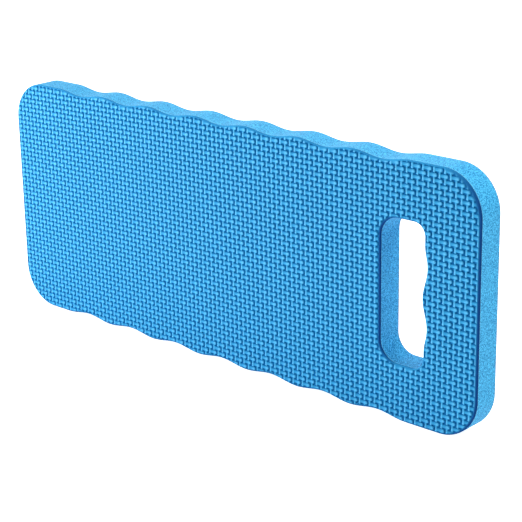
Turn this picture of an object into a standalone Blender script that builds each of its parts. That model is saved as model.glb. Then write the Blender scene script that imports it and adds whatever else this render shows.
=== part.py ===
"""A flat foam kneeling pad with a hand slot, standing on one of its long scalloped edges.

The pad is one slab laminated from three layers: a facing sheet on each side and a
plain foam core between them.  All three share one die-cut outline with rounded
corners, a row of shallow scallops along both long edges and a hand slot near one end.
The slot's outer side carries two finger recesses with a low ridge between them.

Frame: +X runs along the length towards the hand slot, -Y is out of the front face,
+Z is up.  The origin is on the ground under the middle of the pad.  Units are metres.
"""
import math

import bmesh
import bpy
from mathutils import Matrix, Vector

# Overall sizes
LENGTH = 0.440
HEIGHT = 0.180
THICKNESS = 0.022

# Layers
FACING_THICKNESS = 0.004
LAYER_GAP = 0.0003
EDGE_ROLL = 0.0016

# Outline
CORNER_RADIUS = 0.030
SCALLOP_PITCH = 0.0478
SCALLOP_DEPTH = 0.0028
SCALLOP_END_MARGIN = 0.018
TOP_ROW_SHIFT = -0.0020
BOTTOM_ROW_SHIFT = -0.0045

# Hand slot
HANDLE_WIDTH = 0.0410
SLOT_WIDTH = 0.0375
SLOT_LENGTH = 0.100
SLOT_INNER_RADIUS = 0.014
SLOT_OUTER_RADIUS = 0.0085
FINGER_SPACING = 0.042
FINGER_RECESS = 0.0022
FINGER_RIDGE = 0.0014
FINGER_RUN_OUT = 0.015

# Points along the outline
CORNER_STEPS = 8
SLOT_CORNER_STEPS = 6
SCALLOP_STEPS = 12
FINGER_STEPS = 26
ROLL_STEPS = 2

# Room around the slab for the boxes that slice it into layers
CUTTER_MARGIN = 0.020

PAD_NAME = "kneeling_pad"
FACING_COLOUR = (0.045, 0.300, 0.640)
CORE_COLOUR = (0.110, 0.440, 0.780)


def remove_everything():
    """Empty the scene of the objects it starts with."""
    for scene_object in list(bpy.data.objects):
        bpy.data.objects.remove(scene_object, do_unlink=True)


def new_collection(name):
    collection = bpy.data.collections.new(name)
    bpy.context.scene.collection.children.link(collection)
    return collection


def foam_material(name, colour, roughness):
    """Plain matt foam: a Principled shader with the layer's own colour."""
    material = bpy.data.materials.new(name)
    material.use_nodes = True
    shader = material.node_tree.nodes["Principled BSDF"]
    shader.inputs["Base Color"].default_value = (*colour, 1.0)
    shader.inputs["Roughness"].default_value = roughness
    shader.inputs["Metallic"].default_value = 0.0
    material.diffuse_color = (*colour, 1.0)
    return material


def arc(centre, radius, start_degrees, end_degrees, steps):
    """Points of an arc, both ends included, in the pad's own plane (along, up)."""
    points = []
    for step in range(steps + 1):
        angle = math.radians(start_degrees + (end_degrees - start_degrees) * step / steps)
        points.append((centre[0] + radius * math.cos(angle), centre[1] + radius * math.sin(angle)))
    return points


def scallop_count():
    """As many whole scallops as fit between the end margins of a long edge."""
    straight = LENGTH - 2 * CORNER_RADIUS - 2 * SCALLOP_END_MARGIN
    return int(straight / SCALLOP_PITCH + 1e-6)


def scallop_row(shift):
    """Points (along, depth) of one scalloped edge, left to right; a scallop is one cosine wave."""
    count = scallop_count()
    start = shift - count * SCALLOP_PITCH / 2
    points = []
    for step in range(count * SCALLOP_STEPS + 1):
        turn = step / SCALLOP_STEPS
        depth = SCALLOP_DEPTH * (1 - math.cos(2 * math.pi * turn)) / 2
        points.append((start + turn * SCALLOP_PITCH, depth))
    return points


def pad_outline():
    """The outer outline, anticlockwise seen from the front, starting at the lower edge."""
    half = LENGTH / 2
    side = half - CORNER_RADIUS
    low = CORNER_RADIUS
    high = HEIGHT - CORNER_RADIUS
    points = [(along, depth) for along, depth in scallop_row(BOTTOM_ROW_SHIFT)]
    points += arc((side, low), CORNER_RADIUS, -90, 0, CORNER_STEPS)
    points += arc((side, high), CORNER_RADIUS, 0, 90, CORNER_STEPS)
    points += [(along, HEIGHT - depth) for along, depth in reversed(scallop_row(TOP_ROW_SHIFT))]
    points += arc((-side, high), CORNER_RADIUS, 90, 180, CORNER_STEPS)
    points += arc((-side, low), CORNER_RADIUS, 180, 270, CORNER_STEPS)
    return points


def slot_right():
    """The deepest place of the finger recesses, measured along the pad."""
    return LENGTH / 2 - HANDLE_WIDTH


def finger_side(offset):
    """How far the slot's outer side stands into the slot at a height above its middle.

    The side is deepest in the two finger recesses.  A cosine ridge joins them, and
    beyond each recess a half cosine brings the side back to where the corner starts.
    """
    reach = abs(offset)
    recess = FINGER_SPACING / 2
    if reach <= recess:
        return (FINGER_RECESS + FINGER_RIDGE) * (1 + math.cos(math.pi * reach / recess)) / 2
    run_out = min((reach - recess) / FINGER_RUN_OUT, 1.0)
    return FINGER_RECESS * (1 - math.cos(math.pi * run_out)) / 2


def slot_outline():
    """The hand slot, clockwise seen from the front, starting at the top of its inner side."""
    middle = HEIGHT / 2
    top = middle + SLOT_LENGTH / 2
    bottom = middle - SLOT_LENGTH / 2
    left = slot_right() - SLOT_WIDTH
    right = slot_right() - FINGER_RECESS
    inner = SLOT_INNER_RADIUS
    outer = SLOT_OUTER_RADIUS
    points = arc((left + inner, top - inner), inner, 180, 90, SLOT_CORNER_STEPS)
    points += arc((right - outer, top - outer), outer, 90, 0, SLOT_CORNER_STEPS)
    reach = SLOT_LENGTH / 2 - outer
    for step in range(1, FINGER_STEPS):
        offset = reach * (1 - 2 * step / FINGER_STEPS)
        points.append((slot_right() - finger_side(offset), middle + offset))
    points += arc((right - outer, bottom + outer), outer, 0, -90, SLOT_CORNER_STEPS)
    points += arc((left + inner, bottom + inner), inner, 270, 180, SLOT_CORNER_STEPS)
    return points


def add_outline(curve, points):
    """One closed straight-sided spline through the points."""
    spline = curve.splines.new("POLY")
    spline.points.add(len(points) - 1)
    for point, (along, up) in zip(spline.points, points):
        point.co = (along, up, 0.0, 1.0)
    spline.use_cyclic_u = True


def slab_mesh():
    """The whole pad as one closed mesh, standing up, with the rims of both faces rolled over."""
    curve = bpy.data.curves.new("pad_outline", "CURVE")
    curve.dimensions = "2D"
    curve.fill_mode = "BOTH"
    curve.bevel_depth = EDGE_ROLL
    curve.bevel_resolution = ROLL_STEPS - 1
    curve.offset = -EDGE_ROLL
    curve.extrude = THICKNESS / 2 - EDGE_ROLL
    add_outline(curve, pad_outline())
    add_outline(curve, slot_outline())
    outline = bpy.data.objects.new("pad_outline", curve)
    outline.rotation_euler = (math.radians(90), 0.0, 0.0)
    bpy.context.scene.collection.objects.link(outline)
    bpy.context.view_layer.update()
    evaluated = outline.evaluated_get(bpy.context.evaluated_depsgraph_get())
    mesh = bpy.data.meshes.new_from_object(evaluated)
    mesh.transform(outline.matrix_world)
    bpy.data.objects.remove(outline, do_unlink=True)
    bpy.data.curves.remove(curve)
    tidy = bmesh.new()
    tidy.from_mesh(mesh)
    bmesh.ops.remove_doubles(tidy, verts=tidy.verts, dist=0.00001)
    bmesh.ops.recalc_face_normals(tidy, faces=tidy.faces)
    tidy.to_mesh(mesh)
    tidy.free()
    mesh.materials.clear()
    return mesh


def layer_cutter(name, front, back, cutters):
    """A box that keeps the slab between two depths and clears it all round."""
    size = Vector((LENGTH + 2 * CUTTER_MARGIN, back - front, HEIGHT + 2 * CUTTER_MARGIN))
    place = Matrix.Translation((0.0, (front + back) / 2, HEIGHT / 2)) @ Matrix.Diagonal((*size, 1.0))
    mesh = bpy.data.meshes.new(name)
    box = bmesh.new()
    bmesh.ops.create_cube(box, size=1.0, matrix=place)
    box.to_mesh(mesh)
    box.free()
    cutter = bpy.data.objects.new(name, mesh)
    cutter.hide_render = True
    cutter.display_type = "WIRE"
    cutters.objects.link(cutter)
    return cutter


def layer(name, mesh, front, back, material, parts, cutters):
    """One layer of the slab: the slab's mesh, kept between two depths."""
    piece = bpy.data.objects.new(name, mesh.copy())
    piece.data.name = name
    piece.data.materials.append(material)
    parts.objects.link(piece)
    keep = piece.modifiers.new("keep_layer", "BOOLEAN")
    keep.operation = "INTERSECT"
    keep.solver = "EXACT"
    keep.object = layer_cutter(name + "_cutter", front, back, cutters)
    return piece


def build():
    remove_everything()
    parts = new_collection(PAD_NAME)
    cutters = new_collection("cutters")
    facing = foam_material("facing_foam", FACING_COLOUR, 0.62)
    core = foam_material("core_foam", CORE_COLOUR, 0.85)
    slab = slab_mesh()
    face = THICKNESS / 2
    seam = face - FACING_THICKNESS
    outside = face + CUTTER_MARGIN
    layer("front_facing", slab, -outside, -seam, facing, parts, cutters)
    layer("foam_core", slab, -seam + LAYER_GAP, seam - LAYER_GAP, core, parts, cutters)
    layer("back_facing", slab, seam, outside, facing, parts, cutters)
    bpy.data.meshes.remove(slab)


build()
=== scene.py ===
"""Looks of the foam kneeling pad: two pressed facing sheets with a plain core between them.

Each facing carries a T-weave relief: a crossbar with a stem hanging under its middle,
repeated on a centred lattice so that the bars seem to pass over and under each other.
The skin rolls over at the rims and ends at the die-cut wall, which is lighter and open
celled.  The core is the plain band of cut foam between the facings.

Lengths are in metres.  +X runs along the pad towards the hand slot, -Y is out of the
front face and +Z is up.
"""

import math

import bmesh
import bpy
import numpy as np
from mathutils import Matrix, Vector


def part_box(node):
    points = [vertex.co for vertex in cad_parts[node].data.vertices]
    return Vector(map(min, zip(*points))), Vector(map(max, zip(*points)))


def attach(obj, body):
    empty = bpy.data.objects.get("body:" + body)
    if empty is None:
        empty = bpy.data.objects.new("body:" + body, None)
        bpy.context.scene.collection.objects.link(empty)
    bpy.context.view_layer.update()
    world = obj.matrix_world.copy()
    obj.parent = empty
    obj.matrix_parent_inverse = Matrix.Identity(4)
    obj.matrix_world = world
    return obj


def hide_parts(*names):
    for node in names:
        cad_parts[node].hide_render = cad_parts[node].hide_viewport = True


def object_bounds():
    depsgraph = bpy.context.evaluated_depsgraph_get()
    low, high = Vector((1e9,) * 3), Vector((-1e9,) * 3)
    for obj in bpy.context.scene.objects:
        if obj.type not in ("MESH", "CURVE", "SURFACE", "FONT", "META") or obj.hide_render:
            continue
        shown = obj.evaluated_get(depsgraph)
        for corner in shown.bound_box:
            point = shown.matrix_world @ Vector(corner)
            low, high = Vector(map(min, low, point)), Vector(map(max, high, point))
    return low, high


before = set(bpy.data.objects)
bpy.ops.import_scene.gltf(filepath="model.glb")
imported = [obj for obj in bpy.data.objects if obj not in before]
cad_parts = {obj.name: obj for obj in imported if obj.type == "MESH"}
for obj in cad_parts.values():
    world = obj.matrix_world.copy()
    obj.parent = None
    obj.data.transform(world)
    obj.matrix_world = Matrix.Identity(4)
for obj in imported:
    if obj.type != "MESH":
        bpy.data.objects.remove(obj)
size_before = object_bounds()

# Outline: corners, scalloped long edges and hand slot
CORNER_RADIUS = 0.030
SCALLOP_COUNT = 7
SCALLOP_PITCH = 0.0478
SCALLOP_DEPTH = 0.0028
TOP_ROW_SHIFT = -0.0020
BOTTOM_ROW_SHIFT = -0.0045
HANDLE_WIDTH = 0.0410
SLOT_WIDTH = 0.0375
SLOT_LENGTH = 0.100
SLOT_INNER_RADIUS = 0.014
SLOT_OUTER_RADIUS = 0.0085
FINGER_SPACING = 0.042
FINGER_RECESS = 0.0022
FINGER_RIDGE = 0.0014
FINGER_RUN_OUT = 0.015
LONG_EDGE_POINTS = 1200
SLOT_SIDE_POINTS = 400
OUTLINE_STEP = 0.0005
WALL_STEP = 0.0010
CORE_ROWS = 5

# T-weave relief
PITCH_ALONG = 0.008526
PITCH_UP = 0.007132
WEAVE_START = (-0.00357, 0.00591)
ROW_SLOPE = 0.0210
COLUMN_LEAN = -0.0047
RELIEF_DEPTH = 0.0012
BAR_LEFT = 0.00315
BAR_RIGHT = 0.00285
BAR_HALF_HEIGHT = 0.00140
BULB_SWELL = 0.00012
BULB_START = 0.3
BAR_SIDE = 0.00088
STEM_OFFSET = 0.00034
STEM_HALF_WIDTH = 0.00102
STEM_REACH = 0.00588
STEM_SIDE = 0.00084
LOW_END = 0.80
# Painted shade in the skin's tone: darker at each bar's low end and along a crossbar's top, where the
# neighbouring bars cast shadow
LOW_END_SHADE = 0.12
BAR_TOP_SHADE = 0.24
BAR_TOP_EASE = 0.5
BAR_TOP_SLOPE = 0.6
SAMPLES_ALONG = (0.0, 0.115, 0.21, 0.29, 0.37, 0.49, 0.60, 0.69, 0.78, 0.87, 0.93)
SAMPLES_UP = (0.0, 0.14, 0.28, 0.37, 0.45, 0.57, 0.69, 0.84)

# Rolled rim
RIM_WIDTH = 0.0007
RIM_DEPTH = 0.0017
RIM_START_DEPTH = 0.00060
RIM_FADE = 0.0006
RIM_STEPS = 5
LIP = 0.0002
# Painted highlight on the cut's lip, brightest where it faces up
LIP_HIGHLIGHT = 0.6
CORNER_SAG = 0.009
# Painted shade on the rolled rim: its weight by the direction the rim faces, heaviest towards the handle
# end, and how much further the weave flattens there
RIM_SHADE_START = 0.30
RIM_SHADE_ALONG = 0.70
RIM_SHADE_UP = -0.15
RIM_SHADE_REACH = 1.4
CORNER_REACH = 4.0
# The rolled rim's tone, and how much of it the rim's painted shade takes off
RIM_RELIEF = 0.65
RIM_SHADE_RELIEF = 0.35

# Finishes: colour stops of the skin over its relief, darker in the grooves as painted shade, the rim's
# painted shade, the cut foam's colour over its cells, the lip's painted highlight, and gloss
SKIN_SHADED_STOPS = (
    (0.25, (0.003, 0.135, 0.360)),
    (0.68, (0.018, 0.280, 0.570)),
    (0.98, (0.088, 0.480, 0.820)),
)
# Colour of the rim's painted shade
RIM_SHADE_COLOUR = (0.0, 0.045, 0.190)
SKIN_RELIEF_RANGE = (0.4, 0.95)
SKIN_ROUGHNESS_RANGE = (1.0, 0.42)
SKIN_SPECULAR = 0.22
CUT_STOPS = (
    (0.42, (0.004, 0.190, 0.470)),
    (0.58, (0.080, 0.550, 0.900)),
)
# Colour of the lip's painted highlight
CUT_LIP_HIGHLIGHT = (0.30, 0.72, 0.98)
CUT_ROUGHNESS = 0.66
CUT_SPECULAR = 0.25
PALE_FLOOR = (0.92, 0.92, 0.92)

# Foam cells, as (scale, roughness), and how the skin shows them
CELL_TURN = (0.5, 0.4, 0.3)
CELL_DETAIL = 2.0
CUT_CELLS = (1150.0, 0.7)
SKIN_CELLS = (1500.0, 0.6)
SKIN_GRAIN = 0.5
SKIN_GRAIN_DEPTH = 0.00012

# Camera, seen from the middle of the pad
CAMERA_OFFSET = (0.7693, -0.8070, 0.3583)
CAMERA_YAW = 0.744
CAMERA_PITCH = -0.323
CAMERA_ROLL = 0.018
CAMERA_LENS = 113.2

# Light; each lamp has a name, azimuth, elevation, distance, size and strength
AMBIENT = 0.36
FLOOR_GLOW = 0.25
FLOOR_HALF_WIDTH = 6.0
LAMPS = (
    ("left_lamp", -43.0, 9.0, 1.00, 0.50, 1.03),
    ("top_lamp", 150.0, 80.0, 1.60, 0.90, 0.50),
    ("right_lamp", 103.0, 50.0, 1.20, 0.60, 0.46),
    ("back_lamp", -140.0, 22.0, 1.60, 1.00, 0.20),
)


# --- Outline ------------------------------------------------------------------------

def smooth(value):
    """Smoothstep of a value held to 0..1."""
    held = np.clip(value, 0.0, 1.0)
    return held * held * (3.0 - 2.0 * held)


def arc(centre, radius, start_degrees, end_degrees, steps=40):
    """Points of an arc as an array (along, up)."""
    angle = np.radians(np.linspace(start_degrees, end_degrees, steps + 1))
    return np.stack((centre[0] + radius * np.cos(angle), centre[1] + radius * np.sin(angle)), 1)


def scallop_depth(along, shift):
    """Depth of a scalloped edge: a row of whole cosine waves, D (1 - cos 2 pi t) / 2, and 0 beyond it."""
    turn = (along - shift) / SCALLOP_PITCH + SCALLOP_COUNT / 2
    wave = SCALLOP_DEPTH * (1 - np.cos(2 * np.pi * turn)) / 2
    return np.where((turn > 0) & (turn < SCALLOP_COUNT), wave, 0.0)


def finger_side(offset):
    """How far the slot's outer side stands in from its deepest line, at heights above the slot's middle.

    Between the two recesses it is a raised cosine ridge, and beyond them half a cosine
    back to the line where the corners start.
    """
    reach = np.abs(offset)
    recess = FINGER_SPACING / 2
    ridge = (FINGER_RECESS + FINGER_RIDGE) * (1 + np.cos(np.pi * reach / recess)) / 2
    run_out = np.clip((reach - recess) / FINGER_RUN_OUT, 0.0, 1.0)
    return np.where(reach <= recess, ridge, FINGER_RECESS * (1 - np.cos(np.pi * run_out)) / 2)


def resampled(points):
    """A closed path through the points at even steps: places, and unit normals to the right of travel."""
    closed = np.vstack((points, points[:1]))
    length = np.concatenate(([0.0], np.cumsum(np.hypot(*np.diff(closed, axis=0).T))))
    keep = np.concatenate(([True], np.diff(length) > 1e-9))
    count = int(round(length[-1] / OUTLINE_STEP))
    at = np.linspace(0.0, length[-1], count, endpoint=False)
    places = np.stack([np.interp(at, length[keep], closed[keep, axis]) for axis in (0, 1)], 1)
    tangent = np.roll(places, -1, axis=0) - np.roll(places, 1, axis=0)
    tangent /= np.hypot(*tangent.T)[:, None]
    return places, np.stack((tangent[:, 1], -tangent[:, 0]), 1)


def pad_path(low, high):
    """The outer outline, anticlockwise seen from the front, so that its normals point out of the foam."""
    left, right = low.x + CORNER_RADIUS, high.x - CORNER_RADIUS
    bottom, top = low.z + CORNER_RADIUS, high.z - CORNER_RADIUS
    along = np.linspace(left, right, LONG_EDGE_POINTS)
    lower = np.stack((along, low.z + scallop_depth(along, BOTTOM_ROW_SHIFT)), 1)
    upper = np.stack((along, high.z - scallop_depth(along, TOP_ROW_SHIFT)), 1)[::-1]
    return resampled(np.vstack((
        lower,
        arc((right, bottom), CORNER_RADIUS, -90, 0),
        arc((right, top), CORNER_RADIUS, 0, 90),
        upper,
        arc((left, top), CORNER_RADIUS, 90, 180),
        arc((left, bottom), CORNER_RADIUS, 180, 270),
    )))


def slot_sides(low, high):
    """The slot's sides without the finger recesses: left, right, bottom and top."""
    deepest = high.x - HANDLE_WIDTH
    middle = (low.z + high.z) / 2
    return (deepest - SLOT_WIDTH, deepest - FINGER_RECESS,
            middle - SLOT_LENGTH / 2, middle + SLOT_LENGTH / 2)


def slot_path(low, high):
    """The hand slot, clockwise seen from the front, so that its normals point into the hole."""
    left, right, bottom, top = slot_sides(low, high)
    inner, outer = SLOT_INNER_RADIUS, SLOT_OUTER_RADIUS
    up = np.linspace(top - outer, bottom + outer, SLOT_SIDE_POINTS)
    side = high.x - HANDLE_WIDTH - finger_side(up - (bottom + top) / 2)
    return resampled(np.vstack((
        arc((left + inner, top - inner), inner, 180, 90),
        arc((right - outer, top - outer), outer, 90, 0),
        np.stack((side, up), 1),
        arc((right - outer, bottom + outer), outer, 0, -90),
        arc((left + inner, bottom + inner), inner, 270, 180),
    )))


def rounded_box(x, z, sides, radii):
    """Signed distance out of a box whose left and right corners have their own radii."""
    left, right, bottom, top = sides
    middle = (left + right) / 2
    radius = np.where(x < middle, radii[0], radii[1])
    out_x = np.maximum(left - x, x - right) + radius
    out_z = np.maximum(bottom - z, z - top) + radius
    outside = np.hypot(np.maximum(out_x, 0.0), np.maximum(out_z, 0.0))
    return outside + np.minimum(np.maximum(out_x, out_z), 0.0) - radius


def foam_depth(x, z, low, high):
    """How far points are inside the foam, from the nearest rim; below 0 outside it and in the slot."""
    lower = low.z + scallop_depth(x, BOTTOM_ROW_SHIFT)
    upper = high.z - scallop_depth(x, TOP_ROW_SHIFT)
    body = -rounded_box(x, z, (low.x, high.x, lower, upper), (CORNER_RADIUS, CORNER_RADIUS))
    left, right, bottom, top = slot_sides(low, high)
    recess = FINGER_RECESS - finger_side(z - (bottom + top) / 2)
    hole = rounded_box(x, z, (left, right + recess, bottom, top),
                       (SLOT_INNER_RADIUS, SLOT_OUTER_RADIUS))
    return np.minimum(body, hole)


# --- Relief -------------------------------------------------------------------------

def domed(depth, side):
    """Height across a bar: a quarter circle over the width of its rounded side, then flat."""
    rise = np.clip(depth / side, 0.0, 1.0)
    return np.sqrt(1.0 - (1.0 - rise) ** 2)


def one_weave(u, w):
    """Height and tone, each 0..1, of one T at (u, w) from its crossbar's middle.

    The crossbar is a rounded bar, a little taller towards its right end, and climbs from
    LOW_END at the left to 1 at the right.  The stem is a narrower one that hangs under the
    crossbar and climbs in the same way to its lower end.  The tone, which colours the skin,
    is the height again with painted shade: lower at each bar's low end and along a
    crossbar's top, where the neighbouring bars cast shadow.
    """
    swell = BAR_HALF_HEIGHT + BULB_SWELL * smooth(u / BAR_RIGHT + BULB_START)
    bar_depth = -rounded_box(u, w, (-BAR_LEFT - BAR_SIDE, BAR_RIGHT, -swell, swell), (0.0, swell))
    bar_depth = np.where(u > -BAR_LEFT, bar_depth, 0.0)
    bar_part = smooth((u + BAR_LEFT) / (BAR_LEFT + BAR_RIGHT))
    bar_height = domed(bar_depth, BAR_SIDE) * (LOW_END + (1 - LOW_END) * bar_part)
    # Painted shade along the crossbar's top, in the shadow of the bar above
    to_top = smooth(0.5 + BAR_TOP_SLOPE * w / BAR_HALF_HEIGHT)
    top_shade = BAR_TOP_SHADE * (1 - BAR_TOP_EASE * bar_part) * to_top
    bar_tone = bar_height * (1 - LOW_END_SHADE * (1 - bar_part)) * (1 - top_shade)
    stem_depth = -rounded_box(u - STEM_OFFSET, w,
                              (-STEM_HALF_WIDTH, STEM_HALF_WIDTH, -STEM_REACH, 0.0),
                              (STEM_HALF_WIDTH, STEM_HALF_WIDTH))
    stem_part = smooth(-w / STEM_REACH)
    stem_height = domed(stem_depth, STEM_SIDE) * (LOW_END + (1 - LOW_END) * stem_part)
    stem_tone = stem_height * (1 - LOW_END_SHADE * (1 - stem_part))
    return np.maximum(bar_height, stem_height), np.maximum(bar_tone, stem_tone)


def to_weave(x, z):
    """Pad coordinates to distances across the weave's columns and rows."""
    out_x, out_z = x - WEAVE_START[0], z - WEAVE_START[1]
    return out_x - COLUMN_LEAN * out_z, out_z - ROW_SLOPE * out_x


def from_weave(across, up):
    """Distances across the weave's columns and rows back to pad coordinates."""
    skew = 1 - ROW_SLOPE * COLUMN_LEAN
    out_x = (across + COLUMN_LEAN * up) / skew
    return out_x + WEAVE_START[0], up + ROW_SLOPE * out_x + WEAVE_START[1]


def weave(x, z):
    """Height and tone of the T-weave at points of a face.

    Each is the higher of the Ts of the two interleaved lattices.  The sheet was cut a
    little askew, so distances are first taken across the weave's own columns and rows.
    """
    across, up = to_weave(x, z)
    height, tone = np.zeros(x.shape), np.zeros(x.shape)
    for half in (0.0, 0.5):
        u = np.mod(across / PITCH_ALONG - half + 0.5, 1.0) * PITCH_ALONG - PITCH_ALONG / 2
        reach = STEM_REACH + 0.00001
        w = np.mod(up - half * PITCH_UP + reach, PITCH_UP) - reach
        one_height, one_tone = one_weave(u, w)
        height, tone = np.maximum(height, one_height), np.maximum(tone, one_tone)
    return height, tone


def lattice_samples(start, end, half_pitch, fractions):
    """Grid lines across one direction, the same in every half pitch so that they follow the Ts' sides."""
    first, last = math.floor(start / half_pitch) - 1, math.ceil(end / half_pitch) + 1
    return ((np.arange(first, last)[:, None] + np.array(fractions)[None, :]) * half_pitch).ravel()


# --- Meshes -------------------------------------------------------------------------

def make_mesh(name, points, quads, triangles, slots):
    """A smooth-shaded mesh from whole arrays; slots holds each face's material index."""
    mesh = bpy.data.meshes.new(name)
    sides = np.concatenate((np.full(len(quads), 4), np.full(len(triangles), 3)))
    corners = np.concatenate((quads.ravel(), triangles.ravel())).astype(np.int32)
    starts = np.concatenate(([0], np.cumsum(sides)[:-1])).astype(np.int32)
    mesh.vertices.add(len(points))
    mesh.vertices.foreach_set("co", points.astype(np.float32).ravel())
    mesh.loops.add(len(corners))
    mesh.loops.foreach_set("vertex_index", corners)
    mesh.polygons.add(len(sides))
    mesh.polygons.foreach_set("loop_start", starts)
    mesh.polygons.foreach_set("material_index", np.asarray(slots, np.int32))
    mesh.update(calc_edges=True)
    mesh.polygons.foreach_set("use_smooth", np.ones(len(sides), bool))
    mesh.validate()
    return mesh


def nearest_on_path(points, path, block=500):
    """Each point's place along a closed path, counted in path points and part points."""
    found = np.empty(len(points))
    for first in range(0, len(points), block):
        part = points[first:first + block]
        gap = np.hypot(part[:, None, 0] - path[None, :, 0], part[:, None, 1] - path[None, :, 1])
        near = np.argmin(gap, axis=1)
        step = np.roll(path, -1, axis=0)[near] - np.roll(path, 1, axis=0)[near]
        ahead = np.sum((part - path[near]) * step, axis=1) / np.sum(step * step, axis=1)
        found[first:first + block] = near + np.clip(2 * ahead, -0.5, 0.5)
    return np.mod(found, len(path))


def on_path(values, at):
    """A path's places or normals between its points."""
    first = np.floor(at).astype(int) % len(values)
    part = (at - np.floor(at))[:, None]
    return values[first] * (1 - part) + values[(first + 1) % len(values)] * part


def pressed_face(low, high, paths):
    """The flat part of a facing, inside its rolled rim, as (x, z), quads, triangles and rim loops.

    A grid on the weave's own lines is cut along the line RIM_WIDTH inside the rims: of each
    grid edge that crosses the line, the nearer end is moved onto it, and faces with an end
    left outside are dropped.  Each loop is (path number, places along the path, vertices).
    """
    corners_x, corners_z = np.array((low.x, high.x) * 2), np.repeat((low.z, high.z), 2)
    across, up = to_weave(corners_x, corners_z)
    x_lines = lattice_samples(across.min(), across.max(), PITCH_ALONG / 2, SAMPLES_ALONG)
    z_lines = lattice_samples(up.min(), up.max(), PITCH_UP / 2, SAMPLES_UP)
    across, up = np.meshgrid(x_lines, z_lines, indexing="ij")
    x, z = from_weave(across.ravel(), up.ravel())
    depth = foam_depth(x, z, low, high) - RIM_WIDTH
    index = np.arange(len(x)).reshape(len(x_lines), len(z_lines))
    edges = np.vstack((
        np.stack((index[:-1].ravel(), index[1:].ravel()), 1),
        np.stack((index[:, :-1].ravel(), index[:, 1:].ravel()), 1),
    ))
    crossing = edges[(depth[edges[:, 0]] > 0) != (depth[edges[:, 1]] > 0)]
    nearer = np.abs(depth[crossing[:, 0]]) < np.abs(depth[crossing[:, 1]])
    moved = np.unique(np.where(nearer, crossing[:, 0], crossing[:, 1]))
    points = np.stack((x, z), 1)
    at = np.stack([nearest_on_path(points[moved], path[0]) for path in paths], 1)
    places = np.stack([on_path(path[0], at[:, k]) for k, path in enumerate(paths)], 1)
    gaps = np.hypot(*(places - points[moved][:, None, :]).transpose(2, 0, 1))
    own = np.argmin(gaps, axis=1)
    loops = []
    for k, (path, normals) in enumerate(paths):
        mine = moved[own == k]
        mine_at = at[own == k, k]
        points[mine] = on_path(path, mine_at) - RIM_WIDTH * on_path(normals, mine_at)
        order = np.argsort(mine_at)
        loops.append((k, mine_at[order], mine[order]))
    inside = depth > 0
    inside[moved] = True
    quads = np.stack((index[:-1, :-1], index[1:, :-1], index[1:, 1:], index[:-1, 1:]), 2).reshape(-1, 4)
    kept = inside[quads].sum(1)
    three = quads[kept == 3]
    lone = np.argmin(inside[three], axis=1)
    turn = (lone[:, None] + np.array((1, 2, 3))[None, :]) % 4
    triangles = np.take_along_axis(three, turn, axis=1)
    on_line = np.zeros(len(points), bool)
    on_line[moved] = True
    quads = quads[kept == 4]
    return points, quads, without_slivers(quads, triangles, on_line), loops


def side_keys(faces, count):
    """One number for each side of each face, the same for both faces that share the side."""
    ends = np.sort(np.stack((faces, np.roll(faces, -1, axis=1)), 2), axis=2)
    return ends[..., 0] * count + ends[..., 1]


def without_slivers(quads, triangles, on_line):
    """The triangles, less those that lie outside the cut line with all three corners on it.

    Two sides of such a triangle already have another face and the third has none, which
    makes five uses of its three sides in all.
    """
    count = len(on_line)
    flat = np.flatnonzero(on_line[triangles].all(1))
    keys, uses = np.unique(np.concatenate([side_keys(faces, count).ravel() for faces in (quads, triangles)]),
                           return_counts=True)
    own_uses = uses[np.searchsorted(keys, side_keys(triangles[flat], count))]
    return np.delete(triangles, flat[own_uses.sum(1) == 5], axis=0)


def rim_profile(thickness):
    """Section of a facing from its pressed face round to its inner side, as (inset, depth) pairs.

    A quarter ellipse makes the rolled rim.  The straight cut wall follows it, with a narrow
    lip marked off at its start.
    """
    angle = np.linspace(0.0, np.pi / 2, RIM_STEPS + 1)[1:]
    inset = RIM_WIDTH * (1 - np.sin(angle))
    depth = RIM_START_DEPTH + (RIM_DEPTH - RIM_START_DEPTH) * (1 - np.cos(angle))
    wall = [(0.0, RIM_DEPTH + LIP), (0.0, RIM_DEPTH + 2 * LIP), (0.0, thickness)]
    return np.vstack((np.stack((inset, depth), 1), wall))


def rim_shade(normal):
    """Painted shade on the rolled rim, by the direction the rim faces: heaviest towards the handle end,
    which faces away from the main lamp.
    """
    return np.clip(RIM_SHADE_START + RIM_SHADE_ALONG * normal[:, 0] + RIM_SHADE_UP * normal[:, 1], 0.0, 1.0)


def rim_shade_and_highlight(step, normal):
    """The rim attribute of one row of the section.

    On the skin it is the weight of the rim's painted shade.  On the cut's lip it is the
    weight of the lip's painted highlight, which is most where the lip faces up.
    """
    if step < RIM_STEPS:
        return rim_shade(normal)
    if step == RIM_STEPS:
        return LIP_HIGHLIGHT * np.clip(normal[:, 1], 0.0, 1.0)
    return np.zeros(len(normal))


def outward(x, z, low, high):
    """Direction out of the foam near its rims: the slope of the depth inside it, turned round."""
    step = 0.0001
    return np.column_stack([
        foam_depth(x - dx, z - dz, low, high) - foam_depth(x + dx, z + dz, low, high)
        for dx, dz in ((step, 0.0), (0.0, step))]) / (2 * step)


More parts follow.
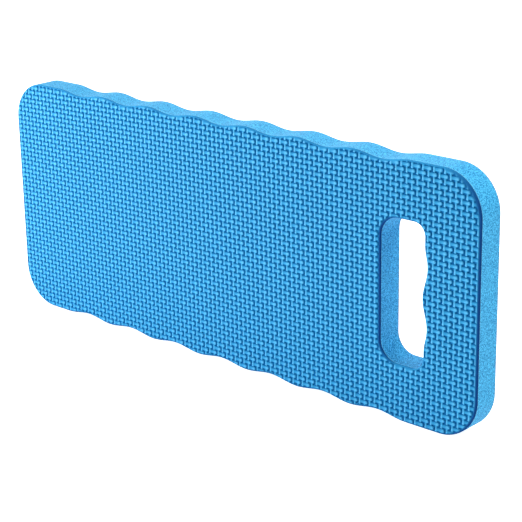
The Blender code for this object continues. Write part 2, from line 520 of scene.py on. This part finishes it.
def pressed_surface(flat, low, high):
    """Depth and masks of the pressed face at (x, z): the weave, flattened towards the rolled rim.

    The flattening reaches further in where the rim's painted shade is heaviest, and
    furthest at the upper corner of the handle end.  The masks are the skin's tone, with
    its painted shade, and the rim's painted shade.
    """
    x, z = flat.T
    shade_weight = rim_shade(outward(x, z, low, high))
    to_corner = np.hypot(x - high.x + CORNER_SAG, z - high.z + CORNER_SAG)
    at_corner = smooth(1 - to_corner / CORNER_RADIUS)
    reach = RIM_FADE * (1 + RIM_SHADE_REACH * shade_weight + CORNER_REACH * at_corner)
    fade = smooth((foam_depth(x, z, low, high) - RIM_WIDTH) / reach)
    height, tone = weave(x, z)
    depth = RELIEF_DEPTH * (1 - height) * fade + RIM_START_DEPTH * (1 - fade)
    # Painted shade of the rolled rim, kept in the rim attribute and taken off the tone
    rim = (1 - fade) * shade_weight
    relief = tone * fade + RIM_RELIEF * (1 - fade) - RIM_SHADE_RELIEF * rim
    return depth, np.column_stack((relief, rim))


def carried_rim(ring, at, path, normals, profile, first):
    """The section carried along one loop: points, masks, the strips between rows, and their slots.

    ring holds the vertices of the pressed face along the loop, at places "at" of the path.
    The new vertices are numbered from first.
    """
    place, normal = on_path(path, at), on_path(normals, at)
    points, masks, strips, slots = [], [], [], []
    previous = ring
    for step, (inset, depth) in enumerate(profile):
        edge = place - inset * normal
        current = first + step * len(edge) + np.arange(len(edge))
        # pressed is the rim's painted shade on the skin rows and the lip's painted highlight on the lip row
        pressed = rim_shade_and_highlight(step, normal)
        points.append(np.column_stack((edge[:, 0], np.full(len(edge), depth), edge[:, 1])))
        masks.append(np.column_stack((RIM_RELIEF - RIM_SHADE_RELIEF * pressed, pressed)))
        strips.append(np.column_stack((previous, current, np.roll(current, -1), np.roll(previous, -1))))
        slots.append(np.full(len(edge), int(step >= RIM_STEPS)))
        previous = current
    return [np.concatenate(rows) for rows in (points, masks, strips, slots)]


def facing_mesh(name, low, high, front):
    """One facing: the pressed face, the rolled rim, the cut wall and a flat cap behind.

    Depths are measured from the outer face, which is at the low y for the front sheet and
    at the high y for the back one.
    """
    paths = (pad_path(low, high), slot_path(low, high))
    flat, quads, triangles, loops = pressed_face(low, high, paths)
    depth, mask = pressed_surface(flat, low, high)
    points, masks = [np.column_stack((flat[:, 0], depth, flat[:, 1]))], [mask]
    strips, cut = [], []
    profile = rim_profile(high.y - low.y)
    count = len(flat)
    for k, at, ring in loops:
        rows = carried_rim(ring, at, *paths[k], profile, count)
        for whole, part in zip((points, masks, strips, cut), rows):
            whole.append(part)
        count += len(rows[0])
    points, masks = np.vstack(points), np.vstack(masks)
    slots = np.concatenate((np.zeros(len(quads)), *cut, np.zeros(len(triangles))))
    quads = np.vstack((quads, *strips))
    points[:, 1] = low.y + points[:, 1] if front else high.y - points[:, 1]
    if not front:
        quads, triangles = quads[:, ::-1], triangles[:, ::-1]
    used = np.zeros(len(points), bool)
    used[quads.ravel()] = True
    used[triangles.ravel()] = True
    renumber = np.cumsum(used) - 1
    mesh = make_mesh(name, points[used], renumber[quads], renumber[triangles], slots)
    # relief carries the skin's tone with its painted shade; rim carries the rim's painted shade and the
    # lip's painted highlight
    for attribute, values in zip(("relief", "rim"), masks[used].T):
        layer = mesh.attributes.new(attribute, "FLOAT", "POINT")
        layer.data.foreach_set("value", values.astype(np.float32))
    cap_open_rims(mesh)
    return mesh


def core_mesh(name, low, high):
    """The core: a straight wall carried along both outlines, at WALL_STEP, with flat caps."""
    points, quads, count = [], [], 0
    depths = np.linspace(low.y, high.y, CORE_ROWS)
    for path, _ in (pad_path(low, high), slot_path(low, high)):
        ring = path[::max(1, round(WALL_STEP / OUTLINE_STEP))]
        number = len(ring)
        for row, y in enumerate(depths):
            points.append(np.column_stack((ring[:, 0], np.full(number, y), ring[:, 1])))
            if row:
                here = count + np.arange(number)
                quads.append(np.column_stack((here - number, here, np.roll(here, -1),
                                              np.roll(here - number, -1))))
            count += number
    quads = np.vstack(quads)
    mesh = make_mesh(name, np.vstack(points), quads, np.empty((0, 3), int), np.ones(len(quads)))
    cap_open_rims(mesh)
    return mesh


def cap_open_rims(mesh, tolerance=2e-5):
    """Closes each flat open side with one filled face set, in the cut foam's slot, and turns it outwards."""
    work = bmesh.new()
    work.from_mesh(mesh)
    open_edges = [edge for edge in work.edges if len(edge.link_faces) == 1]
    for edge in open_edges:
        edge.smooth = False
    for depth in sorted({round(edge.verts[0].co.y, 5) for edge in open_edges}):
        rim = [edge for edge in open_edges if abs(edge.verts[0].co.y - depth) < tolerance]
        made = bmesh.ops.triangle_fill(work, use_beauty=False, use_dissolve=False, edges=rim)
        for face in made["geom"]:
            if isinstance(face, bmesh.types.BMFace):
                face.material_index = 1
                face.smooth = False
    bmesh.ops.recalc_face_normals(work, faces=work.faces)
    work.to_mesh(mesh)
    work.free()


# --- Materials ----------------------------------------------------------------------

def new_material(name):
    """An empty material with one Principled shader: the material, its node tree and the shader."""
    material = bpy.data.materials.new(name)
    material.use_nodes = True
    tree = material.node_tree
    tree.nodes.clear()
    output = tree.nodes.new("ShaderNodeOutputMaterial")
    shader = tree.nodes.new("ShaderNodeBsdfPrincipled")
    tree.links.new(shader.outputs["BSDF"], output.inputs["Surface"])
    return material, tree, shader


def attribute_value(tree, name):
    """The value of one of the mesh's own attributes."""
    node = tree.nodes.new("ShaderNodeAttribute")
    node.attribute_name = name
    return node.outputs["Fac"]


def mapped(tree, value, source, target):
    """A value taken from one range to another."""
    node = tree.nodes.new("ShaderNodeMapRange")
    node.inputs["From Min"].default_value, node.inputs["From Max"].default_value = source
    node.inputs["To Min"].default_value, node.inputs["To Max"].default_value = target
    tree.links.new(value, node.inputs["Value"])
    return node.outputs["Result"]


def ramp_colour(tree, value, stops):
    """A colour ramp through the stops, which are in rising order."""
    node = tree.nodes.new("ShaderNodeValToRGB")
    elements = node.color_ramp.elements
    for _ in stops[2:]:
        elements.new(1.0)
    for element, (position, colour) in zip(elements, stops):
        element.position = position
        element.color = (*colour, 1.0)
    tree.links.new(value, node.inputs["Fac"])
    return node.outputs["Color"]


def mixed_colour(tree, share, colour, other):
    """A colour mixed with a plain one by a share of 0..1."""
    node = tree.nodes.new("ShaderNodeMix")
    node.data_type = "RGBA"
    tree.links.new(share, node.inputs["Factor"])
    tree.links.new(colour, node.inputs["A"])
    node.inputs["B"].default_value = (*other, 1.0)
    return node.outputs["Result"]


def cells_group():
    """The foam's cells as a value of 0..1, turned so that no wall lies along the noise's own grid."""
    group = bpy.data.node_groups.new("foam_cells", "ShaderNodeTree")
    for name in ("Scale", "Roughness"):
        group.interface.new_socket(name, in_out="INPUT", socket_type="NodeSocketFloat")
    group.interface.new_socket("Cells", in_out="OUTPUT", socket_type="NodeSocketFloat")
    given = group.nodes.new("NodeGroupInput")
    place = group.nodes.new("ShaderNodeTexCoord")
    turned = group.nodes.new("ShaderNodeMapping")
    turned.inputs["Rotation"].default_value = CELL_TURN
    noise = group.nodes.new("ShaderNodeTexNoise")
    noise.inputs["Detail"].default_value = CELL_DETAIL
    result = group.nodes.new("NodeGroupOutput")
    group.links.new(place.outputs["Object"], turned.inputs["Vector"])
    group.links.new(turned.outputs["Vector"], noise.inputs["Vector"])
    for name in ("Scale", "Roughness"):
        group.links.new(given.outputs[name], noise.inputs[name])
    group.links.new(noise.outputs["Fac"], result.inputs["Cells"])
    return group


def foam_cells(tree, group, scale, roughness):
    """The cells placed in a material, with the material's own scale and roughness."""
    node = tree.nodes.new("ShaderNodeGroup")
    node.node_tree = group
    node.inputs["Scale"].default_value = scale
    node.inputs["Roughness"].default_value = roughness
    return node.outputs["Cells"]


def skin_material(cells):
    """Pressed skin with a fine grain, lighter on the bars and dull in the grooves and rims, with painted
    shade that makes the grooves and rims deep blue.
    """
    material, tree, shader = new_material("pressed_skin")
    relief = attribute_value(tree, "relief")
    # The colour ramp over the relief paints shade into the grooves
    colour = ramp_colour(tree, relief, SKIN_SHADED_STOPS)
    # Painted shade on the rolled rim, mixed in by the rim attribute
    colour = mixed_colour(tree, attribute_value(tree, "rim"), colour, RIM_SHADE_COLOUR)
    tree.links.new(colour, shader.inputs["Base Color"])
    roughness = mapped(tree, relief, SKIN_RELIEF_RANGE, SKIN_ROUGHNESS_RANGE)
    tree.links.new(roughness, shader.inputs["Roughness"])
    shader.inputs["Specular IOR Level"].default_value = SKIN_SPECULAR
    bump = tree.nodes.new("ShaderNodeBump")
    bump.inputs["Strength"].default_value = SKIN_GRAIN
    bump.inputs["Distance"].default_value = SKIN_GRAIN_DEPTH
    tree.links.new(foam_cells(tree, cells, *SKIN_CELLS), bump.inputs["Height"])
    tree.links.new(bump.outputs["Normal"], shader.inputs["Normal"])
    return material


def cut_material(cells):
    """Die-cut foam: lighter, dull and finely speckled with open cells."""
    material, tree, shader = new_material("cut_foam")
    colour = ramp_colour(tree, foam_cells(tree, cells, *CUT_CELLS), CUT_STOPS)
    # Painted highlight on the lip, mixed in by the rim attribute
    colour = mixed_colour(tree, attribute_value(tree, "rim"), colour, CUT_LIP_HIGHLIGHT)
    tree.links.new(colour, shader.inputs["Base Color"])
    shader.inputs["Roughness"].default_value = CUT_ROUGHNESS
    shader.inputs["Specular IOR Level"].default_value = CUT_SPECULAR
    return material


def seen_or_lit(tree, seen, lit):
    """One strength where the camera looks straight at a surface, and another for the light it gives."""
    ray = tree.nodes.new("ShaderNodeLightPath")
    return mapped(tree, ray.outputs["Is Camera Ray"], (0.0, 1.0), (lit, seen))


def floor_material():
    """Pale matt floor that the camera sees evenly white, whatever shadow lies on it."""
    material, tree, shader = new_material("floor_white")
    shader.inputs["Base Color"].default_value = (*PALE_FLOOR, 1.0)
    shader.inputs["Roughness"].default_value = 1.0
    shader.inputs["Specular IOR Level"].default_value = 0.0
    shader.inputs["Emission Color"].default_value = (*PALE_FLOOR, 1.0)
    tree.links.new(seen_or_lit(tree, 1.0, FLOOR_GLOW), shader.inputs["Emission Strength"])
    return material


# --- Object -------------------------------------------------------------------------

def show(mesh, node, materials):
    """Shows a mesh in place of a CAD node, riding on the pad's one body."""
    piece = bpy.data.objects.new(node + "_foam", mesh)
    for material in materials:
        mesh.materials.append(material)
    bpy.context.scene.collection.objects.link(piece)
    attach(piece, "root")
    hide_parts(node)


def build_pad():
    """Both facings, and a core that fills the room between them."""
    cells = cells_group()
    skin, cut = skin_material(cells), cut_material(cells)
    for node, front in (("front_facing", True), ("back_facing", False)):
        low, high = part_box(node)
        show(facing_mesh(node, low, high, front), node, (skin, cut))
    low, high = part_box("foam_core")
    low.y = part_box("front_facing")[1].y
    high.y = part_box("back_facing")[0].y
    show(core_mesh("foam_core", low, high), "foam_core", (skin, cut))


# --- Stage --------------------------------------------------------------------------

def build_stage():
    """A wide pale floor under the pad."""
    mesh = bpy.data.meshes.new("floor")
    half = FLOOR_HALF_WIDTH
    mesh.from_pydata([(-half, -half, 0), (half, -half, 0), (half, half, 0), (-half, half, 0)],
                     [], [(0, 1, 2, 3)])
    floor = bpy.data.objects.new("floor", mesh)
    mesh.materials.append(floor_material())
    bpy.context.scene.collection.objects.link(floor)


def soft_light(name, middle, azimuth, elevation, distance, size, strength):
    """A square lamp turned to the middle of the pad, azimuth 0 in front and 90 on the slot's side.

    A white surface there that faces a lamp of strength 1 looks as bright as white.
    """
    turn, rise = math.radians(azimuth), math.radians(elevation)
    away = Vector((math.sin(turn) * math.cos(rise), -math.cos(turn) * math.cos(rise), math.sin(rise)))
    data = bpy.data.lights.new(name, "AREA")
    data.size = size
    data.energy = strength * (math.pi * distance) ** 2
    lamp = bpy.data.objects.new(name, data)
    lamp.location = middle + away * distance
    lamp.rotation_mode = "QUATERNION"
    lamp.rotation_quaternion = (-away).to_track_quat("-Z", "Y")
    bpy.context.scene.collection.objects.link(lamp)


def build_light(middle):
    """A surround that looks white and gives a softer light, and the lamps."""
    world = bpy.data.worlds.new("surround")
    world.use_nodes = True
    tree = world.node_tree
    background = tree.nodes["Background"]
    background.inputs["Color"].default_value = (1.0, 1.0, 1.0, 1.0)
    tree.links.new(seen_or_lit(tree, 1.0, AMBIENT), background.inputs["Strength"])
    bpy.context.scene.world = world
    for name, *place_and_strength in LAMPS:
        soft_light(name, middle, *place_and_strength)


def build_camera(middle):
    """The camera, placed from the middle of the pad."""
    data = bpy.data.cameras.new("camera")
    data.lens = CAMERA_LENS
    data.sensor_width = 36.0
    camera = bpy.data.objects.new("camera", data)
    turn = (Matrix.Rotation(CAMERA_YAW, 4, "Z") @ Matrix.Rotation(CAMERA_PITCH, 4, "X")
            @ Matrix.Rotation(CAMERA_ROLL, 4, "Y") @ Matrix.Rotation(math.pi / 2, 4, "X"))
    camera.matrix_world = Matrix.Translation(middle + Vector(CAMERA_OFFSET)) @ turn
    bpy.context.scene.collection.objects.link(camera)
    bpy.context.scene.camera = camera


centre = (size_before[0] + size_before[1]) / 2
build_pad()
build_stage()
build_light(centre)
build_camera(centre)
scene = bpy.context.scene
scene.view_settings.view_transform = "Standard"
scene.view_settings.look = "None"
